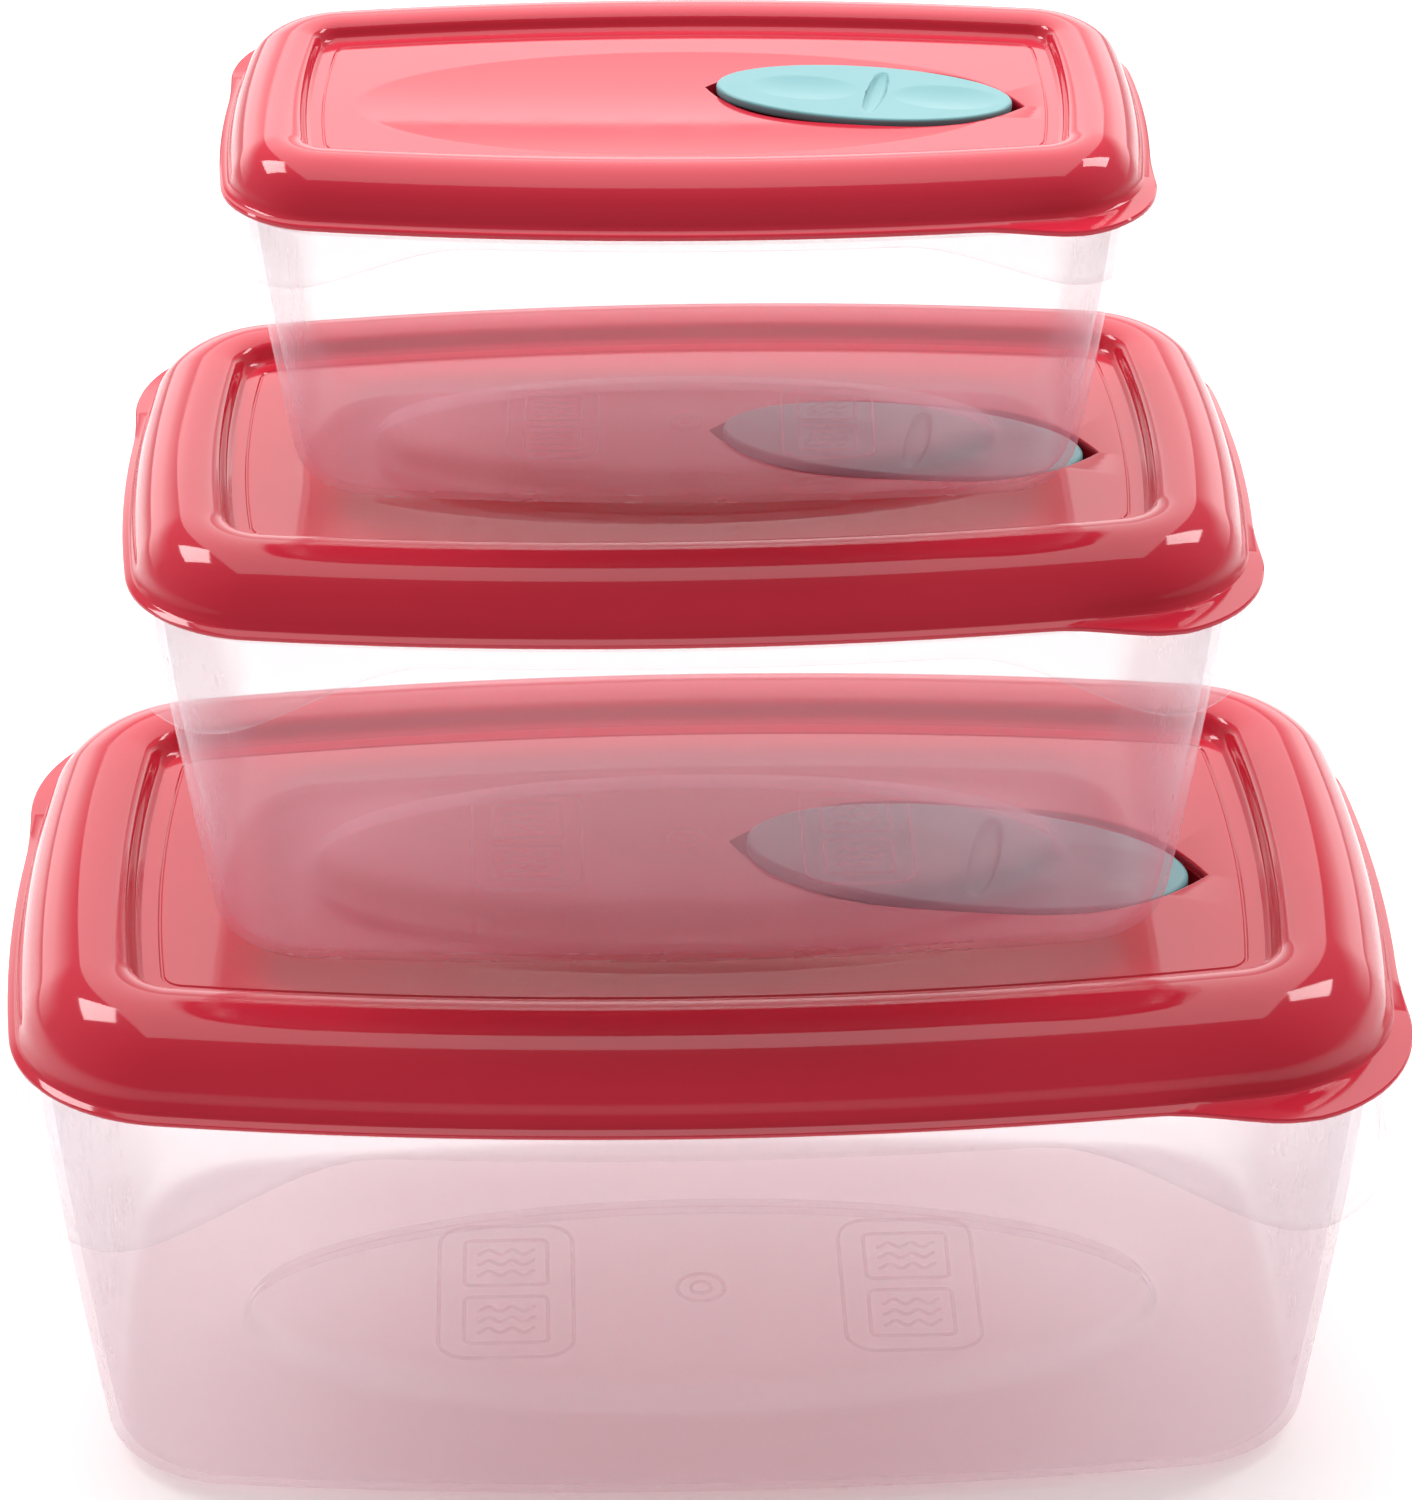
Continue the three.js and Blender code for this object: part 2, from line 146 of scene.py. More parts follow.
VENT_LENGTH = 23.5
VENT_WIDTH = 10.3
VENT_THICKNESS = 1.5
VENT_EDGE = 0.5
VENT_FOOT = [(0.2, 0), (0.05, 0.15), (0, 0.4)]  # its lower edge: inset and height
VENT_RING = 0.15
VENT_AT = (28.2, 0.2)
VENT_ANGLE = -10.8
PIVOT_FROM_MIDDLE = 1.9
PIVOT_BELOW = 0.4
POCKET_LENGTH = 25.4
POCKET_WIDTH = 10.75
POCKET_POWER = 3.4
POCKET_DEPTH = 3.2
POCKET_ROUND = 0.35
CUP_ROUND = 0.6
PIN_RADIUS = 0.55
PIN_END = 11.6
BOSS_WALL = 1.3
STEAM_HOLE = 1.3
PLUG_RADIUS = 2.3
PLUG_FROM_MIDDLE = -9
RIB_REACH = 0.75  # as a share of the vent's half width
RIB_WIDTH = 0.8  # as a share of its depth
WEB = 0.2  # how far the parts under the vent reach into its plate
NOTCH = (1.52, 8.0)
NOTCH_DEPTH = 0.8
DIMPLE = (8.6, 4.6)
DIMPLE_AT = 11.2
DIMPLE_DEPTH = 0.42
DIMPLE_POWER = 1.2

LONG_STEPS = 44
SHORT_STEPS = 22
CORNER_STEPS = 18
VENT_STEPS = 256
VENT_RINGS = 72

# Zones of a piece, in the order of its materials.
WALL, EDGE = 0, 1
GLOSS, SATIN, GRAIN = 0, 1, 2


# ---- Plans, as arrays of points -------------------------------------------------------------------
def mix(start, end, share):
    return start + (end - start) * share


def smooth(start, end, value):
    t = np.clip((value - start) / (end - start), 0, 1)
    return t * t * (3 - 2 * t)


def outline(length, width, bow_ends, bow_sides, radius):
    """Counter-clockwise plan with bowed sides and round corners: its points and its outward normals."""
    a = length - radius
    b = width - radius
    corner_x, corner_y = a, b
    for _ in range(20):  # settles on where the side and the end meet
        corner_x = a - bow_ends * (corner_y / b) ** 2
        corner_y = b - bow_sides * (corner_x / a) ** 2
    y = np.linspace(-corner_y, corner_y, SHORT_STEPS + 1)
    x = np.linspace(corner_x, -corner_x, LONG_STEPS + 1)
    end_angle = np.arctan2(2 * bow_ends * y / b ** 2, 1)
    side_angle = np.arctan2(1, 2 * bow_sides * x / a ** 2)
    turn = np.linspace(end_angle[-1], side_angle[0], CORNER_STEPS + 1)[1:-1]
    angles = [end_angle, turn, side_angle, math.pi - turn[::-1]]
    centres = [
        (a - bow_ends * (y / b) ** 2, y),
        (corner_x, corner_y),
        (x, b - bow_sides * (x / a) ** 2),
        (-corner_x, corner_y),
    ]
    parts, normals = [], []
    for angle, (centre_x, centre_y) in zip(angles, centres):
        normal = np.column_stack([np.cos(angle), np.sin(angle)])
        centre = np.column_stack([np.broadcast_to(centre_x, angle.shape),
                                  np.broadcast_to(centre_y, angle.shape)])
        parts.append(centre + radius * normal)
        normals.append(normal)
    half = np.concatenate(parts)
    half_normals = np.concatenate(normals)
    return np.concatenate([half, -half]), np.concatenate([half_normals, -half_normals])


def at_height(points, z):
    return np.column_stack([points, np.broadcast_to(z, len(points))])


def ellipse(centre, semi, angles, z):
    return np.column_stack([
        centre[0] + semi[0] * np.cos(angles),
        centre[1] + semi[1] * np.sin(angles),
        np.broadcast_to(z, angles.shape),
    ])


def smooth_curve(points, steps):
    """Points on a curve through the given ones, with steps between each two."""
    points = np.array(points, float)
    padded = np.vstack([2 * points[0] - points[1], points, 2 * points[-1] - points[-2]])
    made = [points[0]]
    for i in range(1, len(padded) - 2):
        p0, p1, p2, p3 = padded[i - 1:i + 3]
        t0 = 0.0
        t1 = t0 + np.linalg.norm(p1 - p0) ** 0.5
        t2 = t1 + np.linalg.norm(p2 - p1) ** 0.5
        t3 = t2 + np.linalg.norm(p3 - p2) ** 0.5
        for step in range(1, steps + 1):
            t = mix(t1, t2, step / steps)
            a1 = ((t1 - t) * p0 + (t - t0) * p1) / (t1 - t0)
            a2 = ((t2 - t) * p1 + (t - t1) * p2) / (t2 - t1)
            a3 = ((t3 - t) * p2 + (t - t2) * p3) / (t3 - t2)
            b1 = ((t2 - t) * a1 + (t - t0) * a2) / (t2 - t0)
            b2 = ((t3 - t) * a2 + (t - t1) * a3) / (t3 - t1)
            made.append(((t2 - t) * b1 + (t - t1) * b2) / (t2 - t1))
    return made


# ---- Meshes ---------------------------------------------------------------------------------------
def make_object(name, vertices, faces, zones=None):
    mesh = bpy.data.meshes.new(name)
    mesh.from_pydata(np.asarray(vertices).tolist(), [], faces)
    if zones is not None:
        mesh.polygons.foreach_set("material_index", zones)
    mesh.polygons.foreach_set("use_smooth", [True] * len(mesh.polygons))
    mesh.update()
    piece = bpy.data.objects.new(name, mesh)
    bpy.context.scene.collection.objects.link(piece)
    return piece


def loft(name, rings, zones=None, closed=False):
    """Closed body through rings of equal length, running up the outside first. zones gives the material
    of each band; closed joins the last ring to the first instead of capping both."""
    count = len(rings[0])
    vertices = np.concatenate(rings)
    around = [(i, (i + 1) % count) for i in range(count)]
    bands = len(rings) if closed else len(rings) - 1
    zones = [0] * bands if zones is None else zones
    faces, kinds = [], []
    for band in range(bands):
        low = band * count
        high = (band + 1) % len(rings) * count
        faces.extend((low + i, low + j, high + j, high + i) for i, j in around)
        kinds.extend([zones[band]] * count)
    if not closed:
        middles = [rings[0].mean(0), rings[-1].mean(0)]
        first, last = len(vertices), len(vertices) + 1
        top = (len(rings) - 1) * count
        vertices = np.vstack([vertices, middles])
        faces.extend((first, j, i) for i, j in around)
        faces.extend((last, top + i, top + j) for i, j in around)
        kinds.extend([zones[0]] * count + [zones[-1]] * count)
    return make_object(name, vertices, faces, kinds)


def upright(name, radius, low, high, at=(0, 0), segments=48):
    angles = np.linspace(0, 2 * math.pi, segments, endpoint=False)
    return loft(name, [ellipse(at, (radius, radius), angles, z) for z in (low, high)])


def lying(name, radius, half_length, at=(0, 0, 0), segments=32):
    """Cylinder along Y."""
    angles = np.linspace(0, 2 * math.pi, segments, endpoint=False)
    rings = []
    for y in (-half_length, half_length):
        rings.append(np.column_stack([
            at[0] + radius * np.cos(angles),
            np.broadcast_to(at[1] + y, angles.shape),
            at[2] - radius * np.sin(angles),
        ]))
    return loft(name, rings)


def join(name, pieces):
    """One object from several, each still closed."""
    vertices, faces, zones, start = [], [], [], 0
    for piece in pieces:
        mesh = piece.data
        vertices.extend(tuple(vertex.co) for vertex in mesh.vertices)
        faces.extend(tuple(start + i for i in polygon.vertices) for polygon in mesh.polygons)
        zones.extend(polygon.material_index for polygon in mesh.polygons)
        start += len(mesh.vertices)
        bpy.data.objects.remove(piece)
    return make_object(name, vertices, faces, zones)


def combine(piece, other, operation):
    """Applies a boolean with the other object, which is then gone."""
    modifier = piece.modifiers.new("combine", "BOOLEAN")
    modifier.object = other
    modifier.operation = operation
    modifier.solver = "EXACT"
    modifier.use_self = True
    graph = bpy.context.evaluated_depsgraph_get()
    made = bpy.data.meshes.new_from_object(piece.evaluated_get(graph))
    piece.modifiers.clear()
    piece.data = made
    bpy.data.objects.remove(other)


def move(piece, matrix):
    piece.data.transform(matrix)
    piece.data.update()


def crease(piece, degrees):
    piece.data.polygons.foreach_set("use_smooth", [True] * len(piece.data.polygons))
    piece.data.set_sharp_from_angle(angle=math.radians(degrees))


# ---- One container's sizes ------------------------------------------------------------------------
def measures(name):
    """The container's sizes, with its heights and its place taken from the frame."""
    size = dict(SIZES[name])
    tub_low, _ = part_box(f"{name}_tub")
    lid_low, lid_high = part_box(f"{name}_lid")
    size["scale"] = size["length"] / SMALL_LENGTH
    size["base"] = tub_low.z / MM
    size["height"] = (lid_low.z - tub_low.z) / MM
    size["rise"] = (lid_high.z - lid_low.z) / MM
    size["panel"] = size["rise"] - size["panel_drop"]
    size["lid_wall"] = LID_WALL + LID_WALL_GROWTH * size["scale"]
    size["pivot"] = size["panel"] + size["vent_proud"] - (VENT_THICKNESS + PIVOT_BELOW) * size["scale"]
    return size


def placed(size):
    """From the container's own millimetres to the frame's metres."""
    where = Matrix.Translation(Vector((size["shift"], 0, size["base"])) * MM)
    return where @ Matrix.Rotation(math.radians(size["turn"]), 4, "Z") @ Matrix.Scale(MM, 4)


def rim_plan(size, inset, radius):
    return outline(
        size["length"] - inset, size["width"] - inset,
        END_BOW * size["width"], SIDE_BOW * size["length"], radius,
    )


# ---- Tub ------------------------------------------------------------------------------------------
def tub_plan(size, inset, share):
    bow = mix(FLOOR_BOW, 1, share)
    radius = mix(size["floor_corner"], RIM_CORNER * size["width"] - size["wall_top"], share)
    return outline(
        size["length"] - inset, size["width"] - inset,
        bow * END_BOW * size["width"], bow * SIDE_BOW * size["length"], radius,
    )[0]


def wall_ring(size, z, thickness):
    """Level ring of the tapered wall, thickness inside its outer face, turning into the floor."""
    share = min(1, z / size["height"])
    inset = mix(size["wall_top"], size["wall_floor"], (1 - share) ** WALL_CURVE)
    down = max(0, size["fillet"] - z)
    radius = size["fillet"] - thickness
    turn = size["fillet"] - math.sqrt(max(0, radius ** 2 - down ** 2))
    return at_height(tub_plan(size, inset + turn, share), z)


def plan_angles(size):
    plan, _ = rim_plan(size, 0, RIM_CORNER * size["width"])
    return np.arctan2(plan[:, 1] / size["width"], plan[:, 0] / size["length"])


def plateau_rings(size, level):
    """The floor's oval push-up, from its middle outward, at a level above its foot."""
    angles = plan_angles(size)
    rise = PLATEAU_RISE * size["scale"]
    rings = []
    for share in (0.15, 0.5, 0.85):
        semi = [share * (half - PLATEAU_SLOPE) * size["scale"] for half in PLATEAU]
        rings.append(ellipse((0, 0), semi, angles, level + rise))
    for step in np.linspace(0, 1, 7):
        grow = mix(-PLATEAU_SLOPE, PLATEAU_SLOPE, step)
        semi = [(half + grow) * size["scale"] for half in PLATEAU]
        rings.append(ellipse((0, 0), semi, angles, level + rise * (1 - smooth(0, 1, step))))
    return rings


def skirt_rings(size, top):
    """Down the skirt's inner face, round its bead and up its outer face."""
    corner = RIM_CORNER * size["width"]
    inner = SKIRT_INSET + SKIRT_WALL
    middle = BEAD_RADIUS - BEAD_OUT

    def ring(inset, above):
        plan, _ = rim_plan(size, inset, corner)
        along = np.abs(plan[:, 0]) / size["length"]
        hang = mix(size["skirt_middle"], size["skirt_corner"], smooth(LOBE_START, LOBE_FULL, along))
        return at_height(plan, size["height"] - hang + above)

    ledge_under = [at_height(rim_plan(size, inner, corner)[0], top - LEDGE)]
    bead = [ring(middle + BEAD_RADIUS * math.cos(angle), BEAD_RADIUS * (1 - math.sin(angle)))
            for angle in np.linspace(0, math.pi, 9)]
    bead.append(ring(SKIRT_INSET - 0.5 * (SKIRT_INSET + BEAD_OUT), BEAD_BLEND * BEAD_RADIUS))
    face = [ring(SKIRT_INSET, BEAD_END * BEAD_RADIUS)]
    shoulder = [
        at_height(rim_plan(size, SKIRT_INSET, corner)[0], top - SHOULDER),
        at_height(rim_plan(size, SKIRT_INSET + SHOULDER, corner)[0], top),
    ]
    return [(ledge_under, WALL), (bead, EDGE), (face, WALL), (shoulder, EDGE)]


def build_tub(name, size):
    wall, fillet = size["wall"], size["fillet"]
    top = size["height"] - GAP
    rim_rise = RIM_SHARE * size["rise"]
    rim_top = size["height"] + rim_rise
    lean = size["wall_top"] + RIM_SLOPE * rim_rise
    outer = [wall_ring(size, fillet * (1 - math.cos(angle)), 0)
             for angle in np.linspace(0, math.pi / 2, 10)]
    outer += [wall_ring(size, mix(fillet, top - LEDGE, share), 0) for share in np.linspace(0, 1, 9)[1:]]
    rim = [at_height(tub_plan(size, lean + wall * inset, 1), rim_top - wall * drop)
           for inset, drop in RIM_ROUND]
    inner = [wall_ring(size, mix(top, fillet, share), wall) for share in np.linspace(0, 1, 10)]
    inner += [wall_ring(size, fillet - (fillet - wall) * math.sin(angle), wall)
              for angle in np.linspace(0, math.pi / 2, 10)[1:]]
    groups = [
        (plateau_rings(size, 0), WALL),
        (outer, WALL),
        *skirt_rings(size, top),
        ([wall_ring(size, top, 0)], WALL),
        (rim, EDGE),
        (inner, WALL),
        (plateau_rings(size, wall)[::-1], WALL),
    ]
    rings = [ring for group, _ in groups for ring in group]
    zones = [zone for group, zone in groups for _ in group]
    piece = loft(f"{name}_tub_clear", rings, zones[:-1])
    crease(piece, 50)
    return piece


# ---- Marks raised on a tub's floor: two framed pictograms and the gate mark, all generic ------------
def ridge(name, path, level, width, closed=False):
    """Low raised line along a path of (x, y) points, standing on a level."""
    path = np.array(path, float)
    if closed:
        along = np.roll(path, -1, 0) - np.roll(path, 1, 0)
    else:
        along = np.gradient(path, axis=0)
    along /= np.linalg.norm(along, axis=1)[:, None]
    side = np.column_stack([along[:, 1], -along[:, 0]])
    rings = [
        np.array([[*(x + side_x * width * across for x, side_x in zip(point, normal)), level + width * up]
                  for across, up in MARK_SECTION])
        for point, normal in zip(path, side)
    ]
    return loft(name, rings, closed=closed)


def frame_path(centre, half, corner):
    points = []
    for quarter, (sign_x, sign_y) in enumerate(((1, 1), (-1, 1), (-1, -1), (1, -1))):
        for angle in np.linspace(0, math.pi / 2, 7) + quarter * math.pi / 2:
            points.append((centre[0] + sign_x * (half[0] - corner) + corner * math.cos(angle),
                           centre[1] + sign_y * (half[1] - corner) + corner * math.sin(angle)))
    return points


def wave_path(centre, half_length, height):
    x = np.linspace(-1, 1, 25)
    return np.column_stack([
        centre[0] + half_length * x,
        centre[1] + height * np.sin(WAVE_TURNS * math.pi * x),
    ])


def build_marks(name, size):
    scale = size["scale"]
    level = PLATEAU_RISE * scale + size["wall"]
    line = MARK_LINE * scale
    parts = []
    for place in MARK_PLACES:
        frame_half = [scale * half for half in FRAME]
        edge = frame_path((place * scale, 0), frame_half, FRAME_CORNER * scale)
        parts.append(ridge("frame", edge, level, line, closed=True))
        for row in BOX_ROWS:
            centre = (place * scale, row * scale)
            edge = frame_path(centre, [scale * half for half in BOX], BOX_CORNER * scale)
            parts.append(ridge("box", edge, level, line, closed=True))
            for step in WAVE_ROWS:
                wave = wave_path((centre[0], centre[1] + step * scale), WAVE[0] * scale, WAVE[1] * scale)
                parts.append(ridge("wave", wave, level, line))
    turn = np.linspace(0, 2 * math.pi, 48, endpoint=False)
    for radius in GATE_RADII:
        ring = np.column_stack([radius * scale * np.cos(turn), radius * scale * np.sin(turn)])
        parts.append(ridge("gate", ring, level, line, closed=True))
    piece = join(f"{name}_tub_marks", parts)
    crease(piece, 40)
    return piece


# ---- Lid ------------------------------------------------------------------------------------------
def tab_width(size, plan):
    """How far the lift tabs widen the flange: one at the front right corner, one at the rear left."""
    reach = 0
    for sign in (1, -1):
        dx = sign * plan[:, 0] - TAB_AT[0] * size["length"]
        dy = sign * plan[:, 1] - TAB_AT[1] * size["width"]
        spread = np.where(dy < -dx, TAB_FRONT, TAB_SIDE) * size["length"]
        reach = np.maximum(reach, 1 - smooth(0, 1, np.hypot(dx, dy) / spread))
    return TAB_REACH * size["width"] * reach


def dish_rings(size, level, shares):
    """The panel's shallow oval dish, from its edge inward."""
    scale = size["scale"]
    angles = plan_angles(size)
    centre = [scale * place for place in DISH_AT]
    return [
        ellipse(centre, [share * scale * semi for semi in DISH], angles,
                level - DISH_DEPTH * scale * (1 - min(1, share) ** 2))
        for share in shares
    ]


def lid_shell(name, size):
    scale, rise, panel, wall = (size[key] for key in ("scale", "rise", "panel", "lid_wall"))
    radius = RIM_CORNER * size["width"]
    flat_plan, normals = rim_plan(size, 0, radius)
    widening = tab_width(size, flat_plan)

    def ring(inset, z):
        return at_height(rim_plan(size, inset, max(radius - inset, SMALLEST_CORNER))[0], z)

    def lip(out, z):
        return at_height(flat_plan + normals * (out + widening)[:, None], z)

    foot_inset, foot_rise = BEAD_FOOT
    profile = smooth_curve(
        [(foot_inset * scale, FLANGE_THICKNESS + foot_rise * scale)]
        + [(inset * scale, share * rise) for inset, share in BEAD]
        + [(FILLET_START * scale, panel + FILLET_RISE * scale), (PANEL_INSET * scale, panel)], 5)
    under = smooth_curve([
        (inset * scale + lean * wall, rise * share - wall * math.sqrt(1 - lean ** 2))
        for inset, share, lean in UNDER
    ] + [(BEAD[0][0] * scale + wall, 0)], 3)
    step = STEP_INSET * scale
    width = STEP_WIDTH * scale / 3
    depth = STEP_DEPTH * scale

    rings = dish_rings(size, panel - wall, np.linspace(0.1, 1, 10))
    rings += [
        ring(PANEL_INSET * scale - UNDER_SHARE * wall, panel - wall),
        ring(BEAD[-1][0] * scale - UNDER_SHARE * wall, panel + UNDER_RISE),
        *(ring(inset, z) for inset, z in under),
        lip(FLANGE - FLANGE_ROUND, 0),
        lip(FLANGE, FLANGE_ROUND),
        lip(FLANGE, FLANGE_THICKNESS - FLANGE_ROUND),
        lip(FLANGE - FLANGE_ROUND, FLANGE_THICKNESS),
        ring(FLANGE_BLEND[0] * scale, FLANGE_THICKNESS + FLANGE_BLEND[1] * scale),
        *(ring(inset, min(z, rise)) for inset, z in profile),
    ]
    gloss_bands = len(rings)
    rings += [
        ring(step, panel),
        ring(step + width, panel - depth),
        ring(step + 2 * width, panel - depth),
        ring(step + 3 * width, panel),
        *dish_rings(size, panel, [1.012, 1.004]),
    ]
    satin_bands = len(rings)
    rings += dish_rings(size, panel, [0.996, 0.988, *np.linspace(0.96, 0.06, 16)])
    zones = [GLOSS] * (gloss_bands - 1)
    zones += [SATIN] * (satin_bands - gloss_bands)
    zones += [GRAIN] * (len(rings) - satin_bands)
    return loft(f"{name}_lid_red", rings, zones)


def pocket_ring(scale, grow, z):
    """Plan of the vent's pocket: an eye with two pointed ends."""
    length = POCKET_LENGTH * scale + grow
    width = POCKET_WIDTH * scale + grow
    angle = np.linspace(0, math.pi, 64, endpoint=False)
    x = length * np.cos(angle)
    y = width * (1 - np.abs(x / length) ** POCKET_POWER)
    half = np.column_stack([x, y])
    return at_height(np.concatenate([half, -half]), z)


def vent_place(scale, z=0):
    """From the vent's level frame, origin at its plate's middle, to its lid's."""
    where = Matrix.Translation(Vector((VENT_AT[0] * scale, VENT_AT[1] * scale, z)))
    return where @ Matrix.Rotation(math.radians(VENT_ANGLE), 4, "Z")


def build_lid(name, size):
    scale, panel, wall = size["scale"], size["panel"], size["lid_wall"]
    floor = panel - POCKET_DEPTH * scale
    pivot = (PIVOT_FROM_MIDDLE * scale, 0, size["pivot"])
    pin = PIN_RADIUS * scale
    piece = lid_shell(name, size)
    dip = DISH_DEPTH * scale
    cup = loft("cup", [
        pocket_ring(scale, wall - CUP_ROUND, floor - wall),
        pocket_ring(scale, wall, floor - wall + CUP_ROUND),
        pocket_ring(scale, wall, panel - dip - 0.5 * wall),
    ])
    boss_radius = min(pin + BOSS_WALL, panel - size["pivot"] - dip)
    boss = lying("boss", boss_radius, PIN_END * scale + BOSS_WALL, pivot)
    added = join("added", [cup, boss])
    edge = POCKET_ROUND * scale
    flare = [pocket_ring(scale, edge * (1 - math.cos(angle)), panel - edge * (1 - math.sin(angle)))
             for angle in np.linspace(0, math.pi / 2, 6)]
    pocket = loft("pocket", [
        pocket_ring(scale, 0, floor),
        pocket_ring(scale, 0, panel - dip - edge),
        *flare,
        pocket_ring(scale, edge, panel + 1),
    ])
    sockets = lying("sockets", pin + GAP, PIN_END * scale + GAP, pivot)
    hole = upright("hole", STEAM_HOLE * scale, floor - 3 * wall, floor + 1, (PLUG_FROM_MIDDLE * scale, 0))
    taken = join("taken", [pocket, sockets, hole])
    for other in (added, taken):
        move(other, vent_place(scale))
    combine(piece, added, "UNION")
    combine(piece, taken, "DIFFERENCE")
    move(piece, Matrix.Translation((0, 0, size["height"])))
    crease(piece, 32)
    return piece


# ---- Vent -----------------------------------------------------------------------------------------
def vent_top(scale, points):
    """How far the vent's top dips: a transverse notch and a long thumb dimple on each side of it."""
    x, y = points[:, 0] / scale, points[:, 1] / scale
    dip = NOTCH_DEPTH * np.sqrt(np.clip(1 - (x / NOTCH[0]) ** 2 - (y / NOTCH[1]) ** 2, 0, 1))
    for centre in (-DIMPLE_AT, DIMPLE_AT):
        reach = ((x - centre) / DIMPLE[0]) ** 2 + (y / DIMPLE[1]) ** 2
        dip = np.maximum(dip, DIMPLE_DEPTH * np.clip(1 - reach, 0, 1) ** DIMPLE_POWER)
    return dip * scale


def build_vent(name, size):
    scale = size["scale"]
    middle = (-PIVOT_FROM_MIDDLE * scale, 0)
    bottom = PIVOT_BELOW * scale
    top = bottom + VENT_THICKNESS * scale
    edge = VENT_EDGE * scale
    angles = np.linspace(0, 2 * math.pi, VENT_STEPS, endpoint=False)

    def oval(inset, z):
        return ellipse(middle, (VENT_LENGTH * scale - inset, VENT_WIDTH * scale - inset), angles, z)

    rings = [oval(inset * scale, bottom + height * scale) for inset, height in VENT_FOOT]
    rings += [oval(edge * (1 - math.cos(angle)), top - edge * (1 - math.sin(angle)))
              for angle in np.linspace(0, math.pi / 2, 8)]
    flat = oval(edge + VENT_RING * scale, top)
    for share in np.linspace(1, 0.01, VENT_RINGS):
        ring = flat.copy()
        ring[:, 0] = middle[0] + share * (flat[:, 0] - middle[0])
        ring[:, 1] = share * flat[:, 1]
        ring[:, 2] = top - vent_top(scale, ring)
        rings.append(ring)
    piece = loft(f"{name}_vent_turquoise", rings)

    depth = POCKET_DEPTH * scale + size["vent_proud"] - top - GAP
    reach = RIB_REACH * VENT_WIDTH * scale
    half = RIB_WIDTH * depth
    web_top = bottom + WEB
    turn = np.linspace(0, math.pi, 25)
    section = np.column_stack([half * np.cos(turn), -depth * np.sin(turn)])
    section = np.vstack([[half, web_top], section, [-half, web_top]])
    rib = loft("rib", [
        np.column_stack([section[:, 0], np.full(len(section), y), section[:, 1]]) for y in (-reach, reach)
    ])
    pins = lying("pins", PIN_RADIUS * scale, PIN_END * scale)
    plug = upright("plug", PLUG_RADIUS * scale, -depth, web_top, (middle[0] + PLUG_FROM_MIDDLE * scale, 0))
    combine(piece, join("under", [rib, pins, plug]), "UNION")
    move(piece, Matrix.Rotation(math.radians(size["vent_tilt"]), 4, "Y"))
    move(piece, Matrix.Translation((PIVOT_FROM_MIDDLE * scale, 0, 0)))
    move(piece, vent_place(scale, size["height"] + size["pivot"]))
    crease(piece, 40)
    return piece


# ---- Materials ------------------------------------------------------------------------------------
def new_material(name):
    material = bpy.data.materials.new(name)
    material.use_nodes = True
    tree = material.node_tree
    return material, tree, tree.nodes["Principled BSDF"]


def coordinates(tree):
    return tree.nodes.new("ShaderNodeTexCoord").outputs["Object"]


def noise(tree, scale, detail=3.0):
    node = tree.nodes.new("ShaderNodeTexNoise")
    node.inputs["Scale"].default_value = scale
    node.inputs["Detail"].default_value = detail
    tree.links.new(coordinates(tree), node.inputs["Vector"])
    return node.outputs["Fac"]


def spread(tree, source, low, high, start=0.3, end=0.7):
    node = tree.nodes.new("ShaderNodeMapRange")
    for key, value in (("From Min", start), ("From Max", end), ("To Min", low), ("To Max", high)):
        node.inputs[key].default_value = value
    tree.links.new(source, node.inputs["Value"])
    return node.outputs["Result"]


def tint(tree, source, dark, light):
    node = tree.nodes.new("ShaderNodeMix")
    node.data_type = "RGBA"
    node.inputs["A"].default_value = (*dark, 1)
    node.inputs["B"].default_value = (*light, 1)
    tree.links.new(source, node.inputs["Factor"])
    return node.outputs["Result"]


def bump(tree, shader, source, strength, distance):
    node = tree.nodes.new("ShaderNodeBump")
    node.inputs["Strength"].default_value = strength
    node.inputs["Distance"].default_value = distance
    tree.links.new(source, node.inputs["Height"])
    tree.links.new(node.outputs["Normal"], shader.inputs["Normal"])


def moulded(name, dark, light, roughness, grain, grain_strength, density=1.5):
    """Opaque moulded plastic: slight colour drift, uneven gloss and the grain of the mould's face."""
    material, tree, shader = new_material(name)
    tree.links.new(tint(tree, noise(tree, 24), dark, light), shader.inputs["Base Color"])
    tree.links.new(spread(tree, noise(tree, 130), *roughness), shader.inputs["Roughness"])
    bump(tree, shader, noise(tree, grain, 2.0), grain_strength, 0.0001)
    shader.inputs["IOR"].default_value = density
    return material


HAZE = 0.11  # how opaque one face of a tub is seen square on, and how much is added edge on
HAZE_EDGE = 0.42


def shaded_clear_edge(name):
    """The same plastic where the wall is turned into a bead or an edge: more opaque for the thicker
    plastic, and darker as painted shade along those edges.
    """
    material, tree, shader = new_material(name)
    # painted shade: a dark lilac colour for the beads, shoulders and rim tops
    tree.links.new(tint(tree, noise(tree, 40), (0.30, 0.20, 0.28), (0.38, 0.27, 0.35)),
                   shader.inputs["Base Color"])
    tree.links.new(spread(tree, noise(tree, 200), 0.1, 0.2), shader.inputs["Roughness"])
    shader.inputs["Alpha"].default_value = 0.44
    shader.inputs["IOR"].default_value = 1.3
    return material


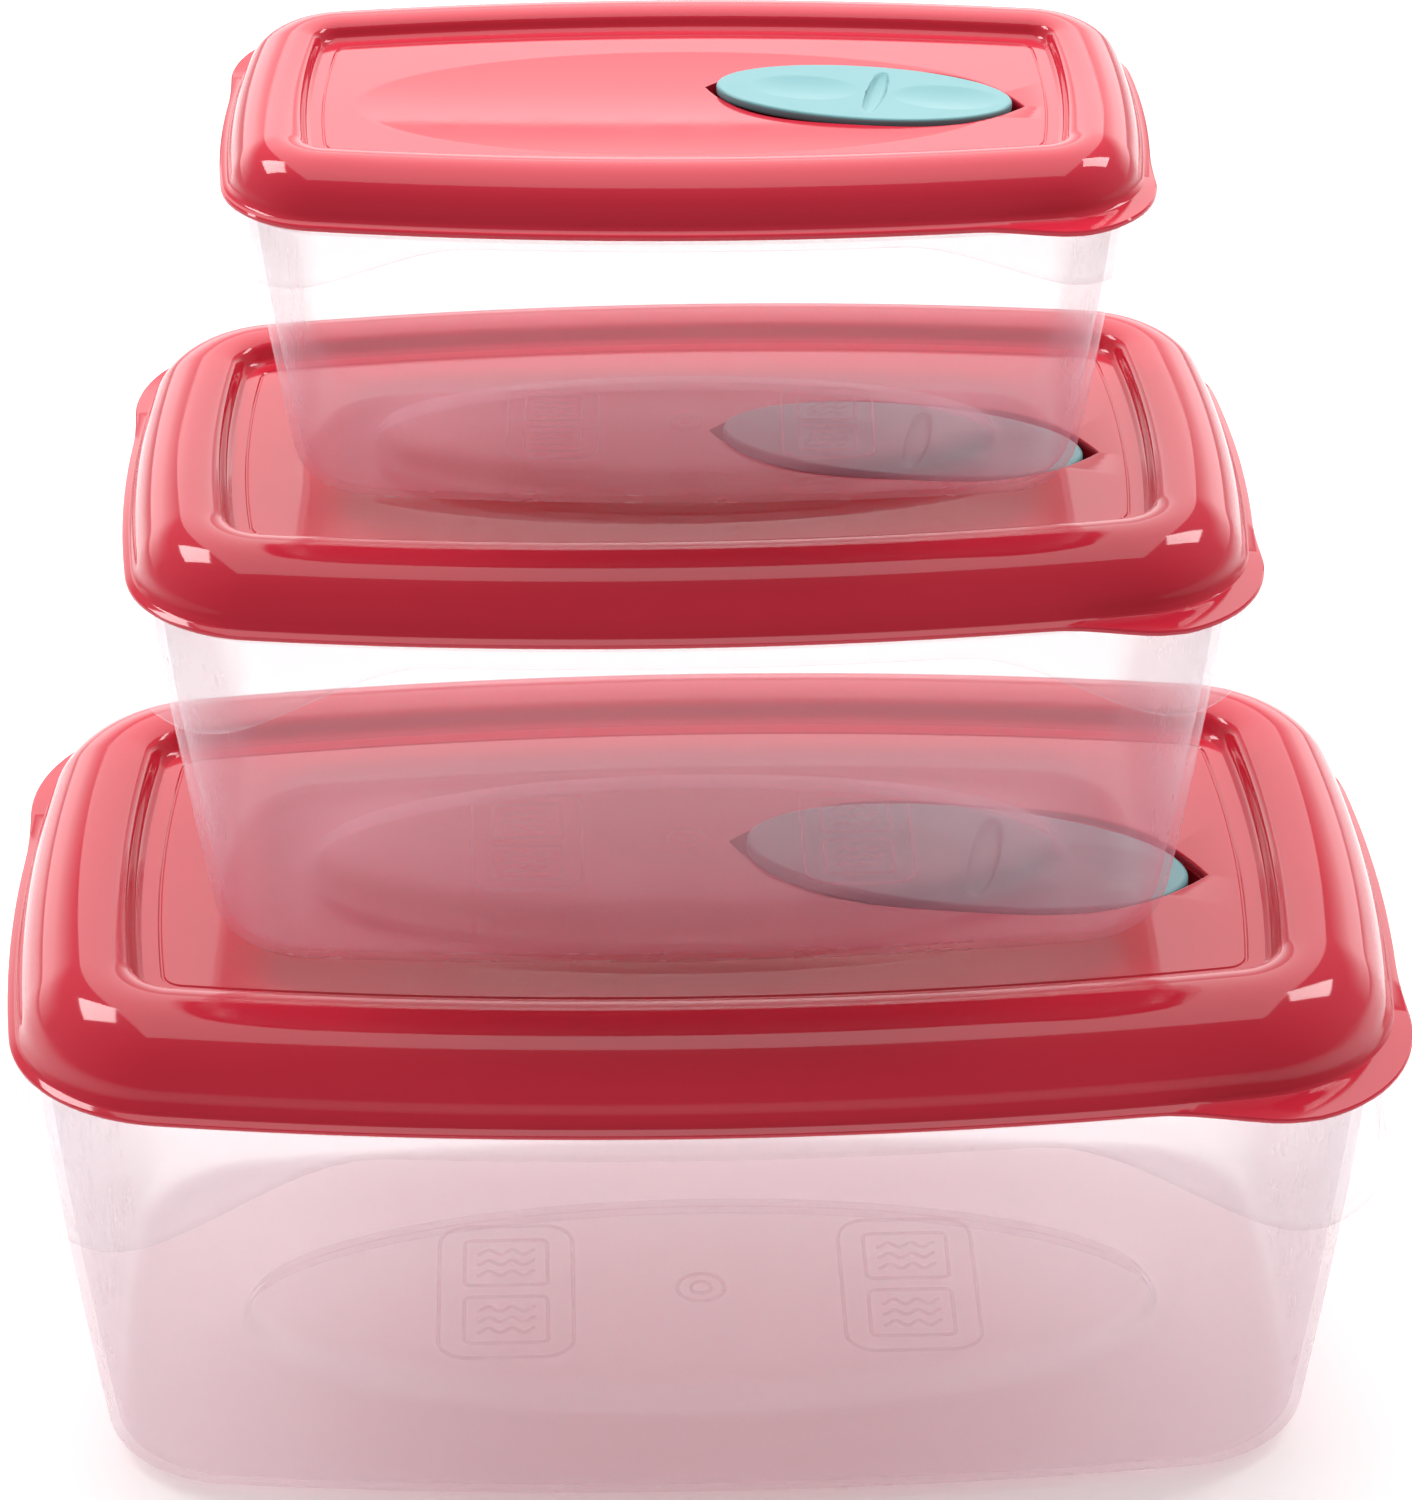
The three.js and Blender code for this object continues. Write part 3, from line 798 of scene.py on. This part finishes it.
def clear_plastic(name, size):
    """Unpigmented plastic: an even haze, denser where it is seen edge on. Near the floor its colour is
    painted light: painted red reflection of a lid below, and painted shade in the large tub. It turns pale
    lilac towards the rim.
    """
    material, tree, shader = new_material(name)
    links = tree.links
    links.new(spread(tree, noise(tree, 160), 0.16, 0.3), shader.inputs["Roughness"])
    bump(tree, shader, noise(tree, 1400, 2.0), 0.12, 0.0001)
    split = tree.nodes.new("ShaderNodeSeparateXYZ")
    links.new(coordinates(tree), split.inputs[0])
    low = size["base"] * MM
    high = low + size["height"] * MM
    # Painted light: the haze takes the floor tint low in the tub and the rim's pale lilac high up, blended
    # between a fifth and four fifths of its height.
    up = spread(tree, split.outputs["Z"], 0, 1, mix(low, high, 0.2), mix(low, high, 0.8))
    links.new(tint(tree, up, size["tint"], RIM_TINT), shader.inputs["Base Color"])
    facing = tree.nodes.new("ShaderNodeLayerWeight")
    facing.inputs["Blend"].default_value = 0.25
    haze = spread(tree, facing.outputs["Facing"], HAZE, HAZE + HAZE_EDGE, 0.1, 1)
    links.new(haze, shader.inputs["Alpha"])
    shader.inputs["IOR"].default_value = 1.33
    return material


RED_GLOSS = moulded("red_gloss", (0.56, 0.018, 0.040), (0.62, 0.024, 0.050), (0.05, 0.09), 900, 0.02)
RED_SATIN = moulded("red_satin", (0.45, 0.022, 0.044), (0.50, 0.028, 0.054), (0.26, 0.32), 3200, 0.12, 1.33)
RED_GRAIN = moulded("red_grain", (0.43, 0.020, 0.042), (0.48, 0.028, 0.052), (0.36, 0.44), 2600, 0.3, 1.31)
TURQUOISE = moulded("turquoise", (0.13, 0.36, 0.385), (0.17, 0.40, 0.42), (0.28, 0.36), 3000, 0.08)
SHADED_CLEAR_EDGE = shaded_clear_edge("shaded_clear_edge")


# ---- The pieces -----------------------------------------------------------------------------------
def finish_piece(piece, size, body, slot, *materials):
    move(piece, placed(size))
    piece.data.materials.clear()
    for material in materials:
        piece.data.materials.append(material)
    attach(piece, body)


for name in SIZES:
    size = measures(name)
    clear = clear_plastic(f"{name}_clear", size)
    tub = build_tub(name, size)
    marks = build_marks(name, size)
    lid = build_lid(name, size)
    vent = build_vent(name, size)
    finish_piece(tub, size, f"{name}_tub", "clear_plastic", clear, SHADED_CLEAR_EDGE)
    finish_piece(marks, size, f"{name}_tub", "clear_plastic", clear)
    finish_piece(lid, size, f"{name}_lid", "red_plastic", RED_GLOSS, RED_SATIN, RED_GRAIN)
    finish_piece(vent, size, f"{name}_vent", "turquoise_plastic", TURQUOISE)
    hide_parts(f"{name}_tub")
    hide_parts(f"{name}_lid")
    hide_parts(f"{name}_vent")


# ---- Stage, light and camera ----------------------------------------------------------------------
def softbox(name, at, target, width, length, radiance):
    """Rectangular soft light; radiance is how bright its face looks, with white paper at 1."""
    lamp = bpy.data.lights.new(name, "AREA")
    lamp.shape = "RECTANGLE"
    lamp.size = width
    lamp.size_y = length
    lamp.energy = 4 * radiance * width * length
    holder = bpy.data.objects.new(name, lamp)
    holder.location = at
    holder.rotation_euler = (Vector(target) - Vector(at)).to_track_quat("-Z", "Y").to_euler()
    holder.visible_camera = False
    bpy.context.scene.collection.objects.link(holder)


def build_floor():
    half = 12
    floor = make_object("floor", [(-half, -half, 0), (half, -half, 0), (half, half, 0), (-half, half, 0)],
                        [(0, 1, 2, 3)])
    material, tree, shader = new_material("floor_paper")
    paper = tint(tree, noise(tree, 3), (0.93, 0.93, 0.93), (0.95, 0.95, 0.95))
    tree.links.new(paper, shader.inputs["Base Color"])
    tree.links.new(paper, shader.inputs["Emission Color"])
    shader.inputs["Emission Strength"].default_value = 0.2
    shader.inputs["Roughness"].default_value = 0.9
    floor.data.materials.append(material)
    floor.location.z = -0.0002


def build_world():
    """A bright low wall of light behind the object, soft light around, and less of it in front."""
    world = bpy.data.worlds.new("studio")
    bpy.context.scene.world = world
    world.use_nodes = True
    tree = world.node_tree
    direction = tree.nodes.new("ShaderNodeTexCoord").outputs["Generated"]
    split = tree.nodes.new("ShaderNodeSeparateXYZ")
    tree.links.new(direction, split.inputs[0])
    around = spread(tree, split.outputs["Y"], 0.2, 0.45, -0.7, 0.1)
    behind = spread(tree, split.outputs["Y"], 0, 1.8, 0.35, 0.75)
    low = spread(tree, split.outputs["Z"], 1, 0, 0.2, 0.45)
    wall = tree.nodes.new("ShaderNodeMath")
    wall.operation = "MULTIPLY_ADD"
    for socket, source in zip(wall.inputs, (behind, low, around)):
        tree.links.new(source, socket)
    strength = wall.outputs[0]
    path = tree.nodes.new("ShaderNodeLightPath")
    seen = tree.nodes.new("ShaderNodeMix")
    tree.links.new(path.outputs["Is Camera Ray"], seen.inputs["Factor"])
    tree.links.new(strength, seen.inputs["A"])
    seen.inputs["B"].default_value = 1
    background = tree.nodes["Background"]
    background.inputs["Color"].default_value = (1, 1, 1, 1)
    tree.links.new(seen.outputs["Result"], background.inputs["Strength"])


def build_camera():
    lens = bpy.data.cameras.new("camera")
    lens.sensor_width = 36
    lens.lens = 138.2
    lens.shift_x = 0.010
    lens.clip_start = 0.05
    lens.clip_end = 60
    camera = bpy.data.objects.new("camera", lens)
    camera.location = (-0.0232, -0.8358, 0.5977)
    camera.rotation_euler = (math.radians(60), math.radians(0.17), math.radians(-1.59))
    bpy.context.scene.collection.objects.link(camera)
    bpy.context.scene.camera = camera


build_floor()
build_world()
build_camera()
softbox("overhead", (0, 0.62, 1.25), (0, 0.30, 0.15), 1.3, 2.4, 1.4)
softbox("left_key", (-0.80, 0.30, 1.05), (0, 0, 0.15), 0.46, 0.42, 8)
softbox("right_key", (0.80, 0.30, 1.05), (0, 0, 0.15), 0.34, 0.5, 7)
bpy.context.scene.view_settings.view_transform = "Standard"
bpy.context.scene.cycles.transparent_max_bounces = 40
